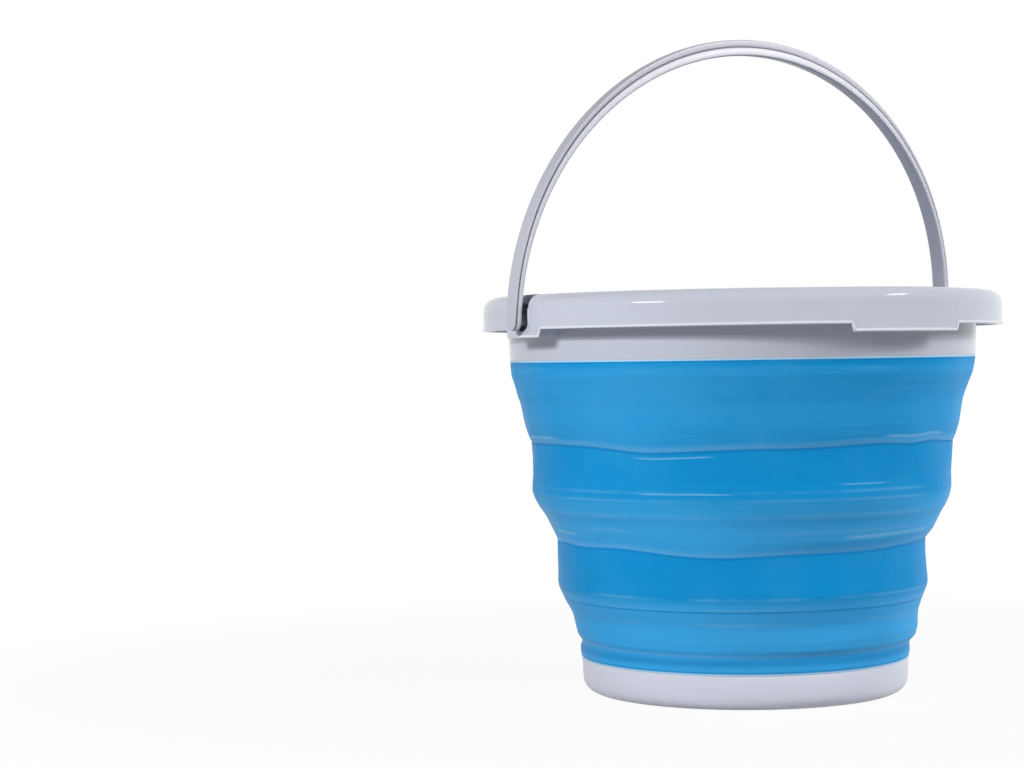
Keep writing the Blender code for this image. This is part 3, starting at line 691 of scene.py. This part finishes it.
def round_bead(name, path, outward, radius, closed, material):
    """A thin round bead of the rim along a path; outward is the way the surface under it faces."""
    sides = 10
    radius = np.broadcast_to(radius, len(path))[:, None, None]
    ahead = np.roll(path, -1, axis=0) - np.roll(path, 1, axis=0)
    if not closed:
        ahead[0], ahead[-1] = path[1] - path[0], path[-1] - path[-2]
    ahead /= np.linalg.norm(ahead, axis=1)[:, None]
    across = np.cross(ahead, outward)
    across /= np.linalg.norm(across, axis=1)[:, None]
    up = np.cross(across, ahead)
    spin = np.arange(sides) * math.tau / sides
    places = (path[:, None] + radius * (np.cos(spin)[None, :, None] * up[:, None]
                                        + np.sin(spin)[None, :, None] * across[:, None]))
    faces = [(first, fourth, third, second)
             for first, second, third, fourth in quads_between(len(path), sides, closed)]
    if not closed:
        faces.append(tuple(range(sides)))
        faces.append(tuple((len(path) - 1) * sides + side for side in reversed(range(sides))))
    mesh = bpy.data.meshes.new(name)
    mesh.from_pydata(places.reshape(-1, 3).tolist(), [], faces)
    bead = smooth_piece(name, mesh, 60, material)
    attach(bead, "rim")


# The bead along the skirt's foot is fuller on the spout's side than at the back
full_bead, thin_bead = 0.0009, 0.0004
bead_steps = 2160
# the bead's paler grey is a painted highlight along the skirt's foot
bead_highlight_pale, bead_highlight_tone = (0.76, 0.785, 0.845), (0.74, 0.765, 0.825)
bead_highlight_plastic = grey_polypropylene("rim_bead_highlight_plastic", bead_highlight_pale, bead_highlight_tone, trim_roughness)
bead_turns = np.linspace(-math.pi, math.pi, bead_steps, endpoint=False)
bead_easing = np.linspace(-0.004, 0.004, 9)
bead_radius = np.interp(np.degrees(bead_turns), (-180, 10, 30, 160, 178, 180),
                        (full_bead, full_bead, 0.0005, thin_bead, thin_bead, full_bead))
bead_reach = rim_radius - 0.0005
bead_heights = rim_foot(bead_turns[:, None] + bead_easing).mean(axis=1) + bead_radius
bead_outward = np.stack((np.cos(bead_turns), np.sin(bead_turns), 0 * bead_turns), axis=1)
bead_path = bead_reach * bead_outward
bead_path[:, 2] = bead_heights
round_bead("rim_bead", bead_path, bead_outward, bead_radius, True, bead_highlight_plastic)

# The slots' rounded edges run from the shoulder down one side, round the foot and up the other
# their paler grey is a painted highlight along the slots' edges
slot_edge_highlight_pale, slot_edge_highlight_tone = (0.70, 0.72, 0.78), (0.67, 0.69, 0.75)
slot_edge_highlight_plastic = grey_polypropylene("slot_edge_highlight_plastic", slot_edge_highlight_pale, slot_edge_highlight_tone,
                                       trim_roughness)
slot_edge_top = 0.2312
slot_edge_reach = rim_radius - 0.0007
slot_half_foot = np.linspace(math.pi, math.tau, 25)
slot_rise = np.linspace(pivot_height, slot_edge_top, 8)[1:]
slot_path_y = np.concatenate((-slot_radius + 0 * slot_rise, slot_radius * np.cos(slot_half_foot),
                              slot_radius + 0 * slot_rise))
slot_path_z = np.concatenate((slot_rise[::-1], pivot_height + slot_radius * np.sin(slot_half_foot),
                              slot_rise))
slot_edge_radius = np.interp(slot_path_z, (pivot_height - 0.004, pivot_height + 0.001), (0.0002, 0.0006))
for side, name in ((-1, "slot_edge_left"), (1, "slot_edge_right")):
    slot_path_x = side * np.sqrt(slot_edge_reach ** 2 - slot_path_y ** 2)
    slot_outward = np.broadcast_to((side, 0, 0), (len(slot_path_x), 3))
    round_bead(name, np.stack((slot_path_x, slot_path_y, slot_path_z), axis=1), slot_outward,
               slot_edge_radius, False, slot_edge_highlight_plastic)

# Hanging lug: a flat eared plate with a 12 mm hole, part of the rim's moulding, for hanging
# the folded bucket on a hook.
lug_edge = 0.0004
lug_plastic = grey_polypropylene("lug_plastic", rim_pale, rim_shade, trim_roughness)
softened_copy("hang_lug", "hanging_lug", lug_edge, lug_plastic, "rim")

# Handle: a grey polypropylene strap moulded as an arch, a flat outer band and a fuller inner
# grip with a groove between them. A stub pin at each end snaps into the rim's slot.
leg_inner = 0.1597
arch_foot = 0.0037
arch_rise = 0.1552
leg_thickness, apex_thickness = 0.0042, 0.0095
leg_half_width, apex_half_width = 0.0063, 0.0045
arch_stops, foot_stops = 121, 7
leg_groove_share, apex_groove_share = 0.66, 0.56
handle_lean = math.radians(5.4)
handle_pale, handle_shade = (0.545, 0.553, 0.640), (0.537, 0.545, 0.632)
# painted highlight on the strap's grip and painted shade on its groove, edges and inner face
grip_highlight_tint, edge_shade_tint = (0.90, 0.905, 0.94), (0.26, 0.263, 0.295)
handle_roughness = 0.28


def strap_section(half, thick, groove):
    """The strap's closed outline as (across, out): a full grip, a groove each side and a narrower band."""
    grip, band = groove * thick, (1 - groove) * thick
    flange = half - 0.0008 - 0.20 * grip
    side = np.array((
        (half - 0.0013, 0), (half - 0.0007, 0.0001), (half - 0.0003, 0.12 * grip),
        (half - 0.0001, 0.22 * grip), (half, 0.38 * grip), (half - 0.0001, 0.56 * grip),
        (half - 0.0004, 0.72 * grip), (half - 0.0004 - 0.08 * grip, 0.85 * grip),
        (flange, 0.94 * grip), (flange - 0.0006, 0.97 * grip), (flange - 0.0007, grip),
        (flange - 0.0004, grip + 0.10 * band), (flange, grip + 0.28 * band),
        (flange, thick - 0.20 * band), (flange - 0.0002, thick - 0.10 * band),
        (flange - 0.0006, thick - 0.03 * band), (flange - 0.0014, thick)))
    return np.concatenate((side, side[::-1] * (-1, 1)))


def strap_stations():
    """Stops up one leg, over the arch and down the other: (turn, height of a rounded foot, width share)."""
    foot_turns = np.linspace(-math.pi / 2, 0, foot_stops + 2)[1:-1]
    foot = [(leg_half_width * math.sin(turn), math.cos(turn)) for turn in foot_turns] + [(0.0, 1.0)]
    return ([(0.0, level, share) for level, share in foot]
            + [(turn, None, 1.0) for turn in np.linspace(0, math.pi, arch_stops)]
            + [(math.pi, level, share) for level, share in reversed(foot)])


def arch_strap():
    """Sweep the strap's outline along its stations, and mark its grip for a painted highlight and its edges
    for painted shade.
    """
    loops, grip_highlight_shares, edge_shade_shares = [], [], []
    for turn, foot_level, width_share in strap_stations():
        up = math.sin(turn)
        inner_x, outer_x = leg_inner * math.cos(turn), (leg_inner + leg_thickness) * math.cos(turn)
        if foot_level is None:
            inner_z, outer_z = arch_foot + arch_rise * up, arch_foot + (arch_rise + apex_thickness) * up
        else:
            inner_z = outer_z = foot_level
        thick = math.hypot(outer_x - inner_x, outer_z - inner_z)
        half = leg_half_width + (apex_half_width - leg_half_width) * up * up
        groove = leg_groove_share + (apex_groove_share - leg_groove_share) * up
        outline = strap_section(half, thick, groove)
        out = outline[:, 1] / thick
        on_grip = (out > 0.10) * (out < groove * 0.95)
        on_band = (out > groove * 1.08) * (out < 0.96)
        in_groove = np.abs(out - groove * 0.98) < 0.03 * groove + 0.01
        # painted highlight on the grip and the band, most at the arch's top; painted shade in the groove,
        # on the outer face and on the inner face
        grip_highlight_shares.append(on_grip * (0.12 + 0.88 * up ** 3) + on_band * 0.45 * up ** 3)
        edge_shade_shares.append(in_groove + (out > 0.97) * (0.1 + 0.7 * up * up) + (out < 0.02) * 0.5)
        loops.append(np.stack((inner_x + (outer_x - inner_x) * out, outline[:, 0] * width_share,
                               inner_z + (outer_z - inner_z) * out), axis=1))
    sides = len(loops[0])
    faces = [tuple(range(sides)), tuple((len(loops) - 1) * sides + side for side in reversed(range(sides)))]
    faces += [(second, first, fourth, third)
              for first, second, third, fourth in quads_between(len(loops), sides, False)]
    mesh = bpy.data.meshes.new("handle_strap")
    mesh.from_pydata(np.concatenate(loops).tolist(), [], faces)
    mesh.transform(Matrix.Translation((0, 0, pivot_height)) @ Matrix.Rotation(handle_lean, 4, "X"))
    for attribute, shares in (("grip_highlight_share", grip_highlight_shares), ("edge_shade_share", edge_shade_shares)):
        mesh.attributes.new(attribute, "FLOAT", "POINT").data.foreach_set("value", np.concatenate(shares))
    return smooth_piece("handle_strap", mesh, 50, handle_plastic)


def paint_grip_highlight_and_shade(material):
    """Paint a highlight on the strap's grip and painted shade on its edges, groove and inner face."""
    tree = material.node_tree
    plastic = tree.nodes["Principled BSDF"]
    colour = plastic.inputs["Base Color"].links[0].from_socket
    for attribute, tint in (("grip_highlight_share", grip_highlight_tint), ("edge_shade_share", edge_shade_tint)):
        share = tree.nodes.new("ShaderNodeAttribute")
        share.attribute_name = attribute
        colour = blended(tree, share.outputs["Fac"], colour, tint)
    tree.links.new(colour, plastic.inputs["Base Color"])


handle_plastic = grey_polypropylene("handle_plastic", handle_pale, handle_shade, handle_roughness, 0)
paint_grip_highlight_and_shade(handle_plastic)
strap = arch_strap()
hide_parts("handle")
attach(strap, "handle")

# Pivot pins: two short round stubs of the handle's own moulding. Each reaches from the strap's
# foot through the rim's slot into a blind socket behind it.
pin_radius = 0.0034
pin_inner, pin_outer = 0.1438, 0.1600
pin_edge = 0.0003
pin_shade_end = 0.1592
pin_plastic = grey_polypropylene("pin_plastic", handle_pale, handle_shade, handle_roughness, 0)
# painted shade on each pin where it lies inside the rim's slot
shade_in_slots(pin_plastic, pin_shade_end)
for side, name in ((-1, "left_pin"), (1, "right_pin")):
    work = bmesh.new()
    bmesh.ops.create_cone(work, cap_ends=True, segments=32, radius1=pin_radius, radius2=pin_radius,
                          depth=pin_outer - pin_inner)
    end_edges = [line for line in work.edges if line.calc_face_angle() > math.radians(60)]
    bmesh.ops.bevel(work, geom=end_edges, offset=pin_edge, offset_type="OFFSET", segments=2, profile=0.5,
                    affect="EDGES")
    pin_mesh = bpy.data.meshes.new(name)
    work.to_mesh(pin_mesh)
    work.free()
    pin_mesh.transform(Matrix.Translation((side * (pin_outer + pin_inner) / 2, 0, pivot_height))
                       @ Matrix.Rotation(math.pi / 2, 4, "Y"))
    pin = smooth_piece(name, pin_mesh, 40, pin_plastic)
    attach(pin, "handle")
